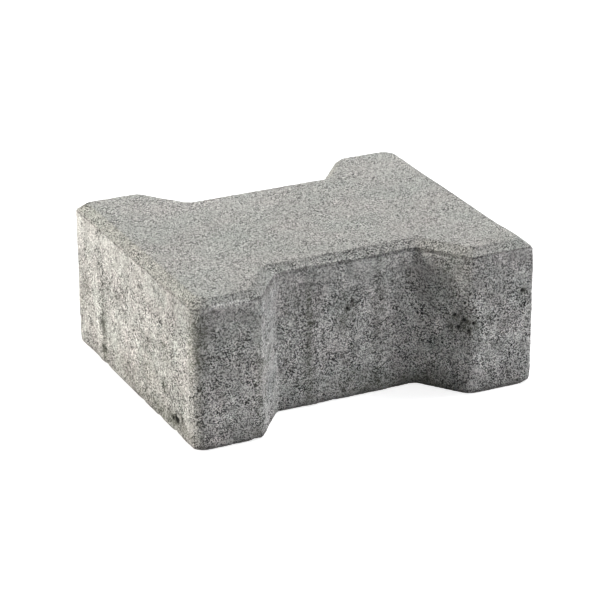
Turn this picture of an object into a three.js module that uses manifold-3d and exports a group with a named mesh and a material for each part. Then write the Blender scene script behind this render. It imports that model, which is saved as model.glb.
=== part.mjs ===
// Double-T paving stone: one piece of cast concrete, lying on its bedding face.
// Millimetres. The origin is the middle of the bedding face, +X along the stone,
// +Y across it and +Z up. Two heads stand out past a narrower waist on both sides,
// so that the heads of the next row lie in the two notches.

import * as THREE from 'three';
import { mergeVertices } from 'three/addons/utils/BufferGeometryUtils.js';
import Module from 'manifold-3d';

// Overall sizes, without the spacer nibs
const LENGTH = 196;
const WIDTH = 162;
const THICKNESS = 82;

// Plan shape: straight head faces, slanted flanks, straight waist faces
const HEAD_RUN = 37.4;
const FLANK_RUN = 20;
const NOTCH_DEPTH = 25.5;

// Upright edges
const CORNER_RADIUS = 2.5;
const SHOULDER_RADIUS = 3;
const WAIST_RADIUS = 4;

// Chamfer round the wearing face, and the narrow ledge that the press leaves at its foot
const CHAMFER_RUN = 5.5; // seen from above, with the ledge
const CHAMFER_DROP = 4.5;
const LEDGE = 0.6;
const LEDGE_DROP = 0.3;

// Spacer nibs: upright ribs that keep the laying joint open and die into the face above
const LAYING_LENGTH = 200;
const NIB_WIDTH = 9.5;
const NIB_PROUD = 1.5;
const NIB_TOP_PROUD = 0.8;
const NIB_HEIGHT = 60;
const NIB_RUNOUT = 8;
const END_NIB_OFFSET = 47;

// Making of the solid
const CAP_ROOT = 6; // depth of the chamfered cap's upright part, most of it buried in the block
const CUT_MARGIN = 5; // how far a corner cutter runs past the stone, above and below
const CUTTER_BACK = 3; // distance from a corner to its cutter's back edge, in radii
const ARC_SEGMENTS = 8;
const NIB_SEGMENTS = 48;
const WELD_DISTANCE = 1e-5;
const ORIGIN = new THREE.Vector2(0, 0);

const wasm = await Module();
wasm.setup();

function toSolid(geometry) {
  const bare = geometry.clone();
  bare.deleteAttribute('normal');
  bare.deleteAttribute('uv');
  const merged = mergeVertices(bare, WELD_DISTANCE);
  return new wasm.Manifold(new wasm.Mesh({
    numProp: 3,
    vertProperties: Float32Array.from(merged.attributes.position.array),
    triVerts: Uint32Array.from(merged.index.array),
  }));
}

function toGeometry(solid) {
  const mesh = solid.getMesh();
  const geometry = new THREE.BufferGeometry();
  geometry.setAttribute('position', new THREE.BufferAttribute(mesh.vertProperties, 3));
  geometry.setIndex(new THREE.BufferAttribute(mesh.triVerts, 1));
  geometry.computeVertexNormals();
  return geometry;
}

// Corners of the plan, counter-clockwise, each with the radius of its upright edge.
// The far half is the near half turned by 180 degrees.
function planCorners() {
  const end = LENGTH / 2;
  const side = WIDTH / 2;
  const shoulder = end - HEAD_RUN;
  const waist = shoulder - FLANK_RUN;
  const half = [
    { x: end, y: -side, radius: CORNER_RADIUS, hollow: false },
    { x: end, y: side, radius: CORNER_RADIUS, hollow: false },
    { x: shoulder, y: side, radius: SHOULDER_RADIUS, hollow: false },
    { x: waist, y: side - NOTCH_DEPTH, radius: WAIST_RADIUS, hollow: true },
    { x: -waist, y: side - NOTCH_DEPTH, radius: WAIST_RADIUS, hollow: true },
    { x: -shoulder, y: side, radius: SHOULDER_RADIUS, hollow: false },
  ];
  const turned = half.map((corner) => ({ ...corner, x: -corner.x, y: -corner.y }));
  return [...half, ...turned];
}

// The plan's corners drawn in by an even inset. Each also holds the inward normals of the
// edges before and after it and the angle between them. Hollow radii grow with the inset.
function insetCorners(inset) {
  const corners = planCorners();
  const count = corners.length;
  const inward = corners.map((from, i) => {
    const to = corners[(i + 1) % count];
    return new THREE.Vector2(from.y - to.y, to.x - from.x).normalize();
  });
  return corners.map((corner, i) => {
    const before = inward[(i + count - 1) % count];
    const after = inward[i];
    const mitre = before.clone().add(after).multiplyScalar(inset / (1 + before.dot(after)));
    return {
      point: new THREE.Vector2(corner.x, corner.y).add(mitre),
      before,
      after,
      turn: before.angleTo(after),
      radius: corner.hollow ? corner.radius + inset : corner.radius - inset,
      hollow: corner.hollow,
    };
  });
}

// Outline with rounded hollow corners. The outer corners stay sharp, as mitres.
function planShape(inset) {
  const shape = new THREE.Shape();
  insetCorners(inset).forEach(({ point, before, after, turn, radius, hollow }, i) => {
    if (hollow) {
      const outward = before.clone().add(after).normalize().negate();
      const centre = point.clone().addScaledVector(outward, radius / Math.cos(turn / 2));
      shape.absarc(centre.x, centre.y, radius, before.angle(), after.angle(), true);
    } else if (i === 0) {
      shape.moveTo(point.x, point.y);
    } else {
      shape.lineTo(point.x, point.y);
    }
  });
  shape.closePath();
  return shape;
}

// Takes the sharp upright edge off each outer corner. The cutter follows the edge's arc in
// chords. Its first and last chords run on by one radius, past the stone's faces, and its
// back stands well clear of the corner.
function roundOuterCorners(solid, inset) {
  const outer = insetCorners(inset).filter((corner) => !corner.hollow && corner.radius > 0);
  return outer.reduce((rest, { point, before, after, turn, radius }) => {
    const inwards = before.clone().add(after).normalize();
    const centre = point.clone().addScaledVector(inwards, radius / Math.cos(turn / 2));
    const spoke = new THREE.Vector2(radius, 0).rotateAround(ORIGIN, before.angle() + Math.PI);
    const arc = Array.from({ length: ARC_SEGMENTS + 1 }, (_, k) => (
      spoke.clone().rotateAround(ORIGIN, (turn * k) / ARC_SEGMENTS).add(centre)
    ));
    const runOn = (from, to) => to.clone().sub(from).setLength(radius).add(to);
    const cutter = new THREE.ExtrudeGeometry(new THREE.Shape([
      runOn(arc[1], arc[0]),
      ...arc.slice(1, -1),
      runOn(arc[ARC_SEGMENTS - 1], arc[ARC_SEGMENTS]),
      point.clone().addScaledVector(inwards, -CUTTER_BACK * radius),
    ]), {
      depth: THICKNESS + 2 * CUT_MARGIN,
      bevelEnabled: false,
    });
    cutter.translate(0, 0, -CUT_MARGIN);
    return rest.subtract(toSolid(cutter));
  }, solid);
}

// The block ends at the ledge.
function makeBlock() {
  const block = new THREE.ExtrudeGeometry(planShape(0), {
    depth: THICKNESS - CHAMFER_DROP - LEDGE_DROP,
    bevelEnabled: false,
    curveSegments: ARC_SEGMENTS,
  });
  return roundOuterCorners(toSolid(block), 0);
}

// The cap carries the chamfer. Its root and its lower bevel are buried in the block.
function makeCap() {
  const cap = new THREE.ExtrudeGeometry(planShape(CHAMFER_RUN), {
    depth: CAP_ROOT,
    bevelThickness: CHAMFER_DROP,
    bevelSize: CHAMFER_RUN - LEDGE,
    bevelSegments: 1,
    curveSegments: ARC_SEGMENTS,
  });
  cap.translate(0, 0, THICKNESS - CHAMFER_DROP - CAP_ROOT);
  return roundOuterCorners(toSolid(cap), LEDGE);
}

// A nib is a slender cone frustum sunk into the face, so that only a shallow rib shows.
function makeNib(faceX, faceY, outX, outY) {
  const foot = (NIB_WIDTH * NIB_WIDTH / 4 + NIB_PROUD * NIB_PROUD) / (2 * NIB_PROUD);
  const sunk = foot - NIB_PROUD;
  const profile = [
    new THREE.Vector2(0, 0),
    new THREE.Vector2(foot, 0),
    new THREE.Vector2(sunk + NIB_TOP_PROUD, NIB_HEIGHT),
    new THREE.Vector2(sunk, NIB_HEIGHT + NIB_RUNOUT),
    new THREE.Vector2(0, NIB_HEIGHT + NIB_RUNOUT),
  ];
  const nib = new THREE.LatheGeometry(profile, NIB_SEGMENTS);
  nib.rotateX(Math.PI / 2);
  nib.translate(faceX - outX * sunk, faceY - outY * sunk, 0);
  return toSolid(nib);
}

// Two nibs on each waist face, each in the middle of the neighbour's head that comes against
// it, and one on each end face, set apart from the nib of the stone that lies end to end.
function makeNibs() {
  const waistNibX = (LAYING_LENGTH - LENGTH + HEAD_RUN) / 2;
  const waistFace = WIDTH / 2 - NOTCH_DEPTH;
  const nibs = [];
  for (const side of [-1, 1]) {
    nibs.push(makeNib(-waistNibX, side * waistFace, 0, side));
    nibs.push(makeNib(waistNibX, side * waistFace, 0, side));
    nibs.push(makeNib(side * LENGTH / 2, -side * END_NIB_OFFSET, side, 0));
  }
  return nibs;
}

const concrete = new THREE.MeshStandardMaterial({ color: 0xa3a19c, roughness: 0.95, metalness: 0 });

const stone = makeNibs().reduce((solid, nib) => solid.add(nib), makeBlock().add(makeCap()));
const pavingStone = new THREE.Mesh(toGeometry(stone), concrete);
pavingStone.name = 'paving_stone';

const group = new THREE.Group();
group.add(pavingStone);

export default group;
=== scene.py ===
"""Double-T interlocking paving stone of cast concrete: pitted skin, finishes and studio."""
import math

import bpy
import numpy as np
from bpy.props import FloatProperty, FloatVectorProperty, IntProperty, PointerProperty
from bpy.types import Operator, Panel, PropertyGroup
from mathutils import Matrix, Vector, geometry


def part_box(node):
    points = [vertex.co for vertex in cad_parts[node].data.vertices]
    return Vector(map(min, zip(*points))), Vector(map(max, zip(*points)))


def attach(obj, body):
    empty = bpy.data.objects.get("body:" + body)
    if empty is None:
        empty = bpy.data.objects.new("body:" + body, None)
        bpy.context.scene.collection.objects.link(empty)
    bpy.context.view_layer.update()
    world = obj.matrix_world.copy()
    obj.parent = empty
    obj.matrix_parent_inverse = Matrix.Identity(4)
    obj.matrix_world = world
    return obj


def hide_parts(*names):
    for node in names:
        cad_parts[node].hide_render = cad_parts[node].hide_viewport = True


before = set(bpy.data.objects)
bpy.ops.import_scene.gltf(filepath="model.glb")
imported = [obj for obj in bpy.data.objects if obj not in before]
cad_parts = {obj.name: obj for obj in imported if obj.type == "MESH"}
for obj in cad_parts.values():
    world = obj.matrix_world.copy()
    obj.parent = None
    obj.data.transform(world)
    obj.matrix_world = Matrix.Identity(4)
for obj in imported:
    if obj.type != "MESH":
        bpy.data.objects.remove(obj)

bl_info = {
    "name": "Double-T Paving Stone",
    "version": (1, 0, 0),
    "blender": (4, 5, 0),
    "location": "3D View > Sidebar > Paving",
    "description": "Casts a double-T paving stone with worn edges, pores and spacer nibs",
    "category": "Object",
}

MM = 0.001
STONE = "paving_stone"
BOX_LOW, BOX_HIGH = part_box(STONE)
NIB_PROUD = 1.5 * MM
# A nib's foot may be worn up to this height.
NIB_FOOT = 14 * MM
# How far the skin's rings go on over the wearing face past the chamfer, and in under the stone.
RIM_REACH = 1.2 * MM
BED_REACH = 5 * MM
# A corner with a wider rounding than this takes more points.
WIDE_RADIUS = 3.5 * MM
# Rings of points in the bottom arris, and bands of faces over the sides with the sides' finish.
ARRIS_RINGS = 5
JOINT_BANDS = 3
# The sides are finer near their top: their relief and pores, and the contrast of their grains.
FINE_RELIEF = 58 * MM, 68 * MM
FINE_GRAIN = 54 * MM, 68 * MM
# The bedding face's deepest pores.
BED_PORES = 0.5 * MM
# The finishes take no hole to be deeper than this, in millimetres.
DEEPEST = 2
# Studio: half the floor's width, how far it lies under the stone, and what the lamps look at.
FLOOR_HALF = 4.0
FLOOR_SINK = 0.3 * MM
LOOK_AT = Vector((0, 0, 0.04))

# The sides of the outline, anticlockwise from the near left corner. Each side's corner is the one
# that it starts from.
NEAR_LEFT_HEAD, NEAR_LEFT_FLANK, NEAR_WAIST, NEAR_RIGHT_FLANK, NEAR_RIGHT_HEAD, RIGHT_END = range(6)
FAR_RIGHT_HEAD, FAR_RIGHT_FLANK, FAR_WAIST, FAR_LEFT_FLANK, FAR_LEFT_HEAD, LEFT_END = range(6, 12)
SIDES = 12

# What is known at each of the skin's points: shares, but for hollow, a depth in millimetres.
FACTS = ("film", "hollow", "wear", "stain_and_shade", "seam_and_shade", "scuff_and_light")

SIDE_SLOT, FACE_SLOT, BED_SLOT = range(3)

# At each corner: share of the usual rounding that the wearing face's rim has there, and how much
# the top of the upright arris has lost, in millimetres.
RIM_SHARES = (1.0, 1.0, 1.0, 1.0, 1.0, 0.75, 1.2, 0.15, 0.25, 0.8, 0.7, 0.15)
TOP_WEAR = (0.9, 0.7, 0, 0, 0.7, 0.45, 0.5, 0, 0, 0, 0.5, 0)


# Settings

def in_metres(name, description, metres):
    return FloatProperty(name=name, description=description, default=metres, unit="LENGTH")


def in_degrees(name, description, degrees):
    return FloatProperty(
        name=name, description=description, default=math.radians(degrees), subtype="ANGLE")


def in_watts(name, description, watts):
    return FloatProperty(name=name, description=description, default=watts, unit="POWER")


def as_colour(name, description, colour):
    return FloatVectorProperty(
        name=name, description=description, default=colour, size=3, subtype="COLOR")


class StoneSizes(PropertyGroup):
    length: in_metres(
        "Length", "End to end, without the nibs", BOX_HIGH.x - BOX_LOW.x - 2 * NIB_PROUD)
    width: in_metres("Width", "Across the heads", BOX_HIGH.y - BOX_LOW.y)
    thickness: in_metres("Thickness", "Bedding face to wearing face", BOX_HIGH.z - BOX_LOW.z)
    head_run: in_metres("Head run", "Length of a head's straight side", 37.4 * MM)
    flank_run: in_metres("Flank run", "How far a slanted flank runs along the stone", 20 * MM)
    notch_depth: in_metres("Notch depth", "How far the waist is set back from the heads", 25.5 * MM)
    corner_radius: in_metres("Corner radius", "Rounding of the heads' square corners", 1.8 * MM)
    worn_corner_radius: in_metres(
        "Worn corner radius", "Rounding of the near left corner, the most worn one", 5 * MM)
    shoulder_radius: in_metres("Shoulder radius", "Rounding where a head meets a flank", 3 * MM)
    waist_radius: in_metres("Waist radius", "Hollow rounding where a flank meets the waist", 4 * MM)
    rim_radius: in_metres("Rim radius", "Rounding of the wearing face's own corners", 9 * MM)
    chamfer_run: in_metres("Chamfer run", "Width of the chamfer in plan, ledge included", 5.5 * MM)
    chamfer_drop: in_metres("Chamfer drop", "Height of the chamfer", 4.5 * MM)
    ledge: in_metres("Ledge", "Width of the ledge at the chamfer's foot", 0.6 * MM)
    ledge_drop: in_metres("Ledge drop", "How far the ledge lies under the chamfer's foot", 0.3 * MM)
    nib_width: in_metres("Nib width", "Width of a spacer nib at its foot", 9.5 * MM)
    nib_proud: in_metres("Nib proud", "How far a nib's foot stands out", NIB_PROUD)
    nib_top_proud: in_metres("Nib top proud", "How far a nib's top stands out", 0.8 * MM)
    nib_height: in_metres("Nib height", "Height of a nib over the bedding face", 60 * MM)
    nib_runout: in_metres("Nib run-out", "Height over which a nib fades into the face", 8 * MM)
    end_nib_offset: in_metres(
        "End nib offset", "End nib's distance from the stone's middle line", 47 * MM)
    waist_nib_offset: in_metres(
        "Waist nib offset", "Waist nib's distance from the stone's middle", 20.7 * MM)


class StoneRelief(PropertyGroup):
    seed: IntProperty(name="Seed", description="Which casting this is", default=29, min=0)
    step: in_metres("Skin step", "Spacing of the skin's points on the sides", 0.96 * MM)
    face_step: in_metres("Face step", "Spacing of the skin's points on the wearing face", 1.6 * MM)
    swell: in_metres("Swell", "Slow rise and fall of the sides", 0.2 * MM)
    drag: in_metres("Drag marks", "Depth of the upright marks that the mould leaves", 0.10 * MM)
    harshness: in_metres("Harshness", "Roughness of the open parts of the sides", 0.11 * MM)
    pores: IntProperty(name="Pores", description="Small pores over the sides", default=2000, min=0)
    voids: IntProperty(name="Voids", description="Larger voids over the sides", default=150, min=0)
    face_pores: IntProperty(
        name="Face pores", description="Pores in the wearing face", default=260, min=0)
    arris_wear: in_metres("Arris wear", "Usual rounding of the bottom arris", 0.5 * MM)
    corner_wear: in_metres("Corner wear", "What the upright arrises have lost", 0.3 * MM)


class StoneColours(PropertyGroup):
    side: as_colour("Side", "Pressed concrete of the sides", (0.388, 0.383, 0.373))
    film: as_colour("Paste film", "Smooth pale cement film on the sides", (0.522, 0.516, 0.502))
    face: as_colour("Wearing face", "Fine concrete of the wearing face", (0.367, 0.366, 0.343))
    # Also used for painted shade: in the holes, under the lips and along the foot.
    pore_and_shade: as_colour("Pores", "Bottom of the pores", (0.072, 0.069, 0.064))
    sand: as_colour("Sand", "Pale sand grains", (0.72, 0.71, 0.68))
    # Also laid on as painted light: lit flanks of nibs, a hollow corner and the line along the
    # ledges.
    bloom_and_light: as_colour("Bloom", "Lime bloom and freshly worn edges", (0.88, 0.87, 0.84))
    # Also the colour of painted shade: the nibs' shaded flanks and the foot by the hollow corner.
    stain_and_shade: as_colour("Stain", "Damp and dirty patches", (0.145, 0.151, 0.122))
    # Painted shade: the bottom of the deepest holes, near black.
    deep: as_colour("Deep holes", "Bottom of the deepest holes", (0.012, 0.012, 0.012))


class StudioSettings(PropertyGroup):
    floor: as_colour("Floor", "Colour of the floor", (0.8, 0.8, 0.8))
    floor_glow: FloatProperty(
        name="Floor lift", description="How much the camera sees the floor lifted towards white",
        default=0.81, min=0, max=1)
    sky: FloatProperty(name="Sky", description="Strength of the even light", default=0.06, min=0)
    key_power: in_watts("Key", "Low lamp off the left end", 24)
    side_power: in_watts("Side", "High lamp on the right", 19.5)
    fill_power: in_watts("Fill", "Low lamp in front, to the right", 5.3)
    back_power: in_watts("Back", "Low lamp behind, to the right", 8)
    key_tint: as_colour("Key tint", "Colour of the key lamp", (1.0, 0.966, 0.888))
    fill_tint: as_colour("Fill tint", "Colour of the three lamps on the right", (0.966, 0.972, 1.0))
    azimuth: in_degrees("Azimuth", "Camera's direction round the stone", -25.7662)
    elevation: in_degrees("Elevation", "Camera's angle over the floor", 23.0331)
    roll: in_degrees("Roll", "Camera's tilt about its own axis", -0.3103)
    distance: in_metres("Distance", "Camera to the stone's middle", 1.481775)
    slide: in_metres("Slide", "Camera's move to its own right", 3.69 * MM)
    rise: in_metres("Rise", "Camera's move to its own top", 28.21 * MM)
    lens: FloatProperty(name="Lens", description="Focal length in millimetres", default=158.05)


# Noise

def soft_step(low, high, value):
    """0 under low, 1 over high, and a smooth way between them."""
    t = np.clip((value - low) / (high - low), 0, 1)
    return t * t * (3 - 2 * t)


def bell(away, reach):
    """1 where away is 0, and hardly anything beyond reach."""
    return np.exp(-(away / reach) ** 2)


def one_noise(points, size, seed):
    """Gradient noise from about -1 to 1 at points, with cells of a size in millimetres."""
    rng = np.random.default_rng(seed)
    order = np.tile(rng.permutation(256), 2)
    slopes = rng.normal(size=(256, 3))
    slopes /= np.linalg.norm(slopes, axis=1, keepdims=True)
    at = points / (size * MM)
    cell = np.floor(at).astype(int)
    part = at - cell
    cell &= 255
    ease = part * part * part * (part * (part * 6 - 15) + 10)
    total = np.zeros(points.shape[:-1])
    for corner in np.ndindex(2, 2, 2):
        x, y, z = np.moveaxis(cell + corner, -1, 0)
        key = order[(order[(order[x & 255] + y) & 255] + z) & 255]
        share = np.prod(np.where(corner, ease, 1 - ease), axis=-1)
        total += share * np.sum(slopes[key] * (part - corner), axis=-1)
    return total * 1.6


def noise(points, size, seed, layers=1, fade=0.5):
    """Layers of noise, each half as coarse as the last one and weaker by fade."""
    total, reach = 0, 0
    for layer in range(layers):
        finer = one_noise(points, np.asarray(size) / 2 ** layer, seed + 101 * layer)
        total = total + fade ** layer * finer
        reach += fade ** layer
    return total / reach


# The outline

class Outline:
    """The stone's plan as rings of points, all with the same number of points in the same order."""

    def __init__(self, sizes, step):
        half_x, half_y = sizes.length / 2, sizes.width / 2
        shoulder = half_x - sizes.head_run
        waist = shoulder - sizes.flank_run
        deep = half_y - sizes.notch_depth
        near = [(-half_x, -half_y), (-shoulder, -half_y), (-waist, -deep),
                (waist, -deep), (shoulder, -half_y), (half_x, -half_y)]
        self.corners = np.array(near + [(-x, -y) for x, y in near])
        radii = [sizes.corner_radius, sizes.shoulder_radius, sizes.waist_radius]
        self.radii = np.array((radii + radii[::-1]) * 2)
        self.radii[NEAR_LEFT_HEAD] = sizes.worn_corner_radius
        self.hollow = np.array([False, False, True, True, False, False] * 2)
        reach = sizes.chamfer_run + RIM_REACH
        self.rim = np.where(self.hollow, self.radii + reach, sizes.rim_radius) * RIM_SHARES
        self.runs = np.roll(self.corners, -1, axis=0) - self.corners
        self.lengths = np.linalg.norm(self.runs, axis=1)
        self.runs /= self.lengths[:, None]
        self.inward = np.stack([-self.runs[:, 1], self.runs[:, 0]], axis=1)
        self.arc_points = [9 if radius > WIDE_RADIUS else 7 for radius in self.radii]
        self.edge_points = [int(length / step) for length in self.lengths]
        self.wall = self.ring(0, self.radii)
        self.feet = np.column_stack([self.wall, np.zeros(len(self.wall))])
        self.normals = self._normals()
        gaps = np.linalg.norm(np.roll(self.wall, -1, axis=0) - self.wall, axis=1)
        self.along = np.concatenate([[0], np.cumsum(gaps)[:-1]])
        self.perimeter = gaps.sum()
        self.starts = self._starts()
        away = np.array([self.gap(start) for start in self.starts])
        lost = np.array(TOP_WEAR)[:, None] * MM
        self.blunt = np.max(lost * bell(away, 3.2 * MM), axis=0)

    def ring(self, inset, radii):
        """The outline moved in by inset, with its corners rounded to radii."""
        arcs = []
        for k, count in enumerate(self.arc_points):
            before, after = self.inward[k - 1], self.inward[k]
            reach = inset / (1 + before @ after)
            corner = self.corners[k] + (before + after) * reach
            turn = math.acos(np.clip(self.runs[k - 1] @ self.runs[k], -1, 1))
            cut = radii[k] * math.tan(turn / 2)
            start = corner - self.runs[k - 1] * cut
            sign = -1 if self.hollow[k] else 1
            centre = start + before * radii[k] * sign
            x, y = start - centre
            arc = []
            for i in range(count):
                bend = sign * turn * i / (count - 1)
                c, s = math.cos(bend), math.sin(bend)
                arc.append(centre + (c * x - s * y, s * x + c * y))
            arcs.append(arc)
        ring = []
        for k, arc in enumerate(arcs):
            begin, finish = arc[-1], arcs[(k + 1) % SIDES][0]
            parts = self.edge_points[k] + 1
            ring += arc + [begin + (finish - begin) * i / parts for i in range(1, parts)]
        return np.array(ring)

    def _normals(self):
        """Outward directions in plan at the wall's points."""
        normals = []
        for k, count in enumerate(self.arc_points):
            before, after = -self.inward[k - 1], -self.inward[k]
            for i in range(count):
                mixed = before + (after - before) * i / (count - 1)
                normals.append(mixed / np.linalg.norm(mixed))
            normals += [after] * self.edge_points[k]
        return np.array(normals)

    def _starts(self):
        """Where each side would begin, measured along the wall, if its corner were sharp."""
        starts = []
        index = 0
        for arc, edge in zip(self.arc_points, self.edge_points):
            middle = index + (arc - 1) / 2
            starts.append(np.interp(middle, np.arange(len(self.along)), self.along))
            index += arc + edge
        return np.array(starts)

    def place(self, side, distance):
        """Position along the wall of a point on a side, by its distance from the side's corner."""
        reach = (self.starts[(side + 1) % SIDES] - self.starts[side]) % self.perimeter
        return self.starts[side] + reach * distance / self.lengths[side]

    def gap(self, position):
        """Signed distance along the wall from a position to each of the wall's points."""
        half = self.perimeter / 2
        return (self.along - position + half) % self.perimeter - half

    def beside(self, side, distance):
        """The same from a point on a side."""
        return self.gap(self.place(side, distance))

    def grid(self, inner, inset, reach, height):
        """Points at insets and heights, on the way from the wall to a ring that lies reach in."""
        share = (inset / reach)[..., None]
        plan = self.wall[:, None] * (1 - share) + inner[:, None] * share
        return np.concatenate([plan, height[..., None]], axis=2)


# Marks of this casting, and some painted light and shade, kept by side. Places and reaches are in
# millimetres, and every row begins with the distance from the side's corner.

# Patches: distance, height, reach along and up, strength. Here the sides are open and harsh.
OPEN_PATCHES = {
    LEFT_END: [
        (12, 40, 7, 8, 0.9), (38, 43, 4, 7, 0.8), (39.5, 21, 3.2, 5, 1.2), (39.5, 7, 3.2, 6, 1.2),
        (37, 57, 4, 3, 0.7), (57, 47, 5, 4, 0.9), (62, 29, 4, 3, 0.6), (69, 50, 4, 4, 0.6),
        (100, 38, 7, 4, 1), (93, 33, 5, 3, 0.6), (108, 60, 8, 4, 0.4), (122, 44, 5, 4, 0.9),
        (121, 21, 4, 4, 1), (117, 4, 8, 4, 1.1), (137, 8, 9, 5, 1.3), (145, 9, 5, 5, 0.8),
    ],
    NEAR_LEFT_HEAD: [
        (3, 65, 4, 8, 0.8), (15, 74, 12, 3, 0.5), (2, 25, 3, 6, 0.7), (26, 55, 3, 4, 0.6),
        (18, 36, 6, 8, 0.4), (33, 5, 6, 5, 0.9),
    ],
    NEAR_LEFT_FLANK: [(17, 65, 6, 4, 0.7), (30, 48, 4, 7, 0.6)],
    NEAR_WAIST: [
        (8, 62, 8, 8, 0.5), (8, 46, 5, 2.5, 0.6), (18, 55, 4, 12, 0.8), (42, 52, 5, 5, 1.1),
        (37, 46, 3, 3, 0.6), (43, 14, 5, 5, 0.8), (50, 12, 5, 5, 0.8), (20, 15, 4, 6, 0.6),
        (59, 38, 3, 5, 0.7), (60, 57, 3, 10, 0.6), (59, 25, 3, 3, 0.6), (78, 60, 5, 8, 0.9),
        (66, 28, 5, 5, 0.4), (76, 5, 10, 5, 0.8),
    ],
    NEAR_RIGHT_FLANK: [
        (6, 66, 6, 6, 0.7), (21, 38, 4, 4, 0.8), (14, 50, 3, 5, 0.5), (12, 21, 3, 5, 0.6),
        (27, 73, 4, 3, 0.6), (27, 40, 8, 6, 1.4),
    ],
    NEAR_RIGHT_HEAD: [
        (1, 38, 5, 6, 1), (14, 58, 5, 4, 0.7), (11, 7, 3, 4, 0.7), (30, 24, 3, 3, 0.6),
        (31, 53, 4, 5, 1.1), (20, 38, 4, 6, 0.8), (28, 4, 9, 5, 0.9),
    ],
    RIGHT_END: [(30, 20, 9, 8, 0.9), (88, 44, 6, 10, 0.8), (140, 10, 8, 6, 0.9)],
    FAR_WAIST: [(20, 15, 7, 6, 0.9), (62, 50, 5, 9, 0.8)],
    FAR_LEFT_HEAD: [(12, 24, 5, 7, 0.8)],
}

# Where a smooth film of cement lies on the sides.
FILM_PATCHES = {
    LEFT_END: [
        (27, 72, 7, 8, 1.2), (50, 70, 8, 9, 1.2), (78, 70, 9, 8, 0.8), (98, 78, 8, 3, 0.6),
        (31, 16, 4, 14, 1.1), (32, 30, 5, 6, 0.8), (48, 32, 6, 4, 0.8), (57, 33, 7, 4, 0.6),
        (74, 32, 11, 7, 1.1), (70, 22, 7, 6, 1), (85, 48, 12, 7, 0.6), (105, 45, 6, 3, 0.6),
        (113, 27, 5, 7, 0.8), (140, 45, 6, 8, 0.9), (150, 48, 5, 7, 0.8), (151, 28, 5, 20, 1),
        (157, 42, 2.5, 14, 1.2),
    ],
    NEAR_LEFT_HEAD: [
        (30, 41, 4, 4, 1.2), (28, 28, 6, 7, 1), (32, 24, 4, 4, 0.6), (14, 12, 5, 6, 1),
        (8, 22, 3, 3, 0.7), (17, 55, 6, 6, 0.5),
    ],
    NEAR_WAIST: [
        (3, 41, 3, 3, 1.1), (8, 33, 4, 5, 0.9), (31, 39, 4, 5, 1.2), (36, 71, 6, 6, 0.9),
        (28, 28, 6, 5, 0.9), (13, 9, 4, 5, 0.9), (49, 23, 7, 5, 0.9), (53, 66, 5, 9, 0.7),
        (75, 44, 6, 4, 0.9), (67, 68, 6, 6, 0.5), (24, 22, 2.5, 26, 0.8), (16, 66, 3, 6, 0.4),
    ],
    NEAR_RIGHT_FLANK: [
        (28, 52, 4, 4, 1), (19, 49, 4, 3, 0.7), (6, 38, 3, 4, 0.6), (2, 27, 3, 3, 1),
        (25, 22, 6, 5, 0.9), (24, 8, 4, 3, 0.7),
    ],
    NEAR_RIGHT_HEAD: [
        (5, 47, 3, 3, 1), (26, 36, 5, 5, 1.1), (18, 30, 4, 4, 0.8), (3, 22, 4, 4, 0.9),
        (35, 12, 3, 8, 0.9), (9, 70, 9, 6, 0.5),
    ],
    RIGHT_END: [(55, 60, 9, 9, 0.9), (110, 30, 8, 8, 0.9)],
    FAR_RIGHT_HEAD: [(20, 40, 6, 10, 0.9)],
    FAR_WAIST: [(40, 35, 8, 8, 0.9)],
    FAR_LEFT_HEAD: [(28, 50, 6, 8, 0.8)],
}

# Where a thin bloom of lime makes the sides paler still; some rows are painted light instead.
PALE_AND_LIT_PATCHES = {
    LEFT_END: [
        (8, 72, 14, 8, 0.18), (50, 70, 14, 9, 0.28), (84, 76, 12, 5, 0.22), (54, 33, 6, 5, 0.2),
        # (30.5, 22) and (31, 56) paint light on the lit flank of the end's nib.
        (78, 33, 8, 5, 0.18), (16, 20, 7, 7, 0.1), (30.5, 22, 4.6, 13, 0.34), (31, 56, 3, 10, 0.1),
        (49, 27, 2.6, 3.4, 0.16), (23.5, 45, 2.6, 4, 0.2), (153, 20, 2.5, 6, 0.12),
        (127, 43, 6, 5, 0.12),
    ],
    NEAR_LEFT_HEAD: [(20, 35, 7, 9, 0.1), (9, 20, 5, 10, 0.1), (32, 22, 2.5, 12, 0.16)],
    NEAR_WAIST: [
        (11, 36, 6, 6, 0.14), (30, 39, 5, 7, 0.13), (31, 22, 3, 12, 0.12),
        # (14.7, 28) paints light beside the waist's nib; (2, 56) paints light into the hollow
        # corner's shade.
        (14.7, 28, 1.5, 22, 0.24), (2, 56, 3, 14, 0.16), (13.5, 8, 2.2, 3, 0.16),
        (25, 48, 2, 12, 0.1), (37, 73, 6, 4, 0.14), (2, 69, 4, 6, 0.08), (79, 43, 5, 7, 0.13),
    ],
    NEAR_RIGHT_FLANK: [
        (2, 28, 4, 8, 0.12), (27, 57, 5, 6, 0.13), (30, 22, 4, 7, 0.08), (25, 62, 3, 8, 0.06),
    ],
    NEAR_RIGHT_HEAD: [
        (25, 29, 5, 7, 0.07), (19, 24, 2, 10, 0.07), (5, 45, 2.2, 3, 0.16), (5, 27, 2.2, 4, 0.12),
        (36, 57, 3, 14, 0.1),
    ],
}

# Paler patches on the wearing face, darker where negative: place along and across, reach, strength.
FACE_CLOUDS = [
    (-80, 60, 55, 0.08),
    (-22, 60, 34, 0.11),
    (88, 60, 28, 0.06),
    (-78, -45, 34, 0.06),
    (80, -71, 9, -0.11),
]
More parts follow.
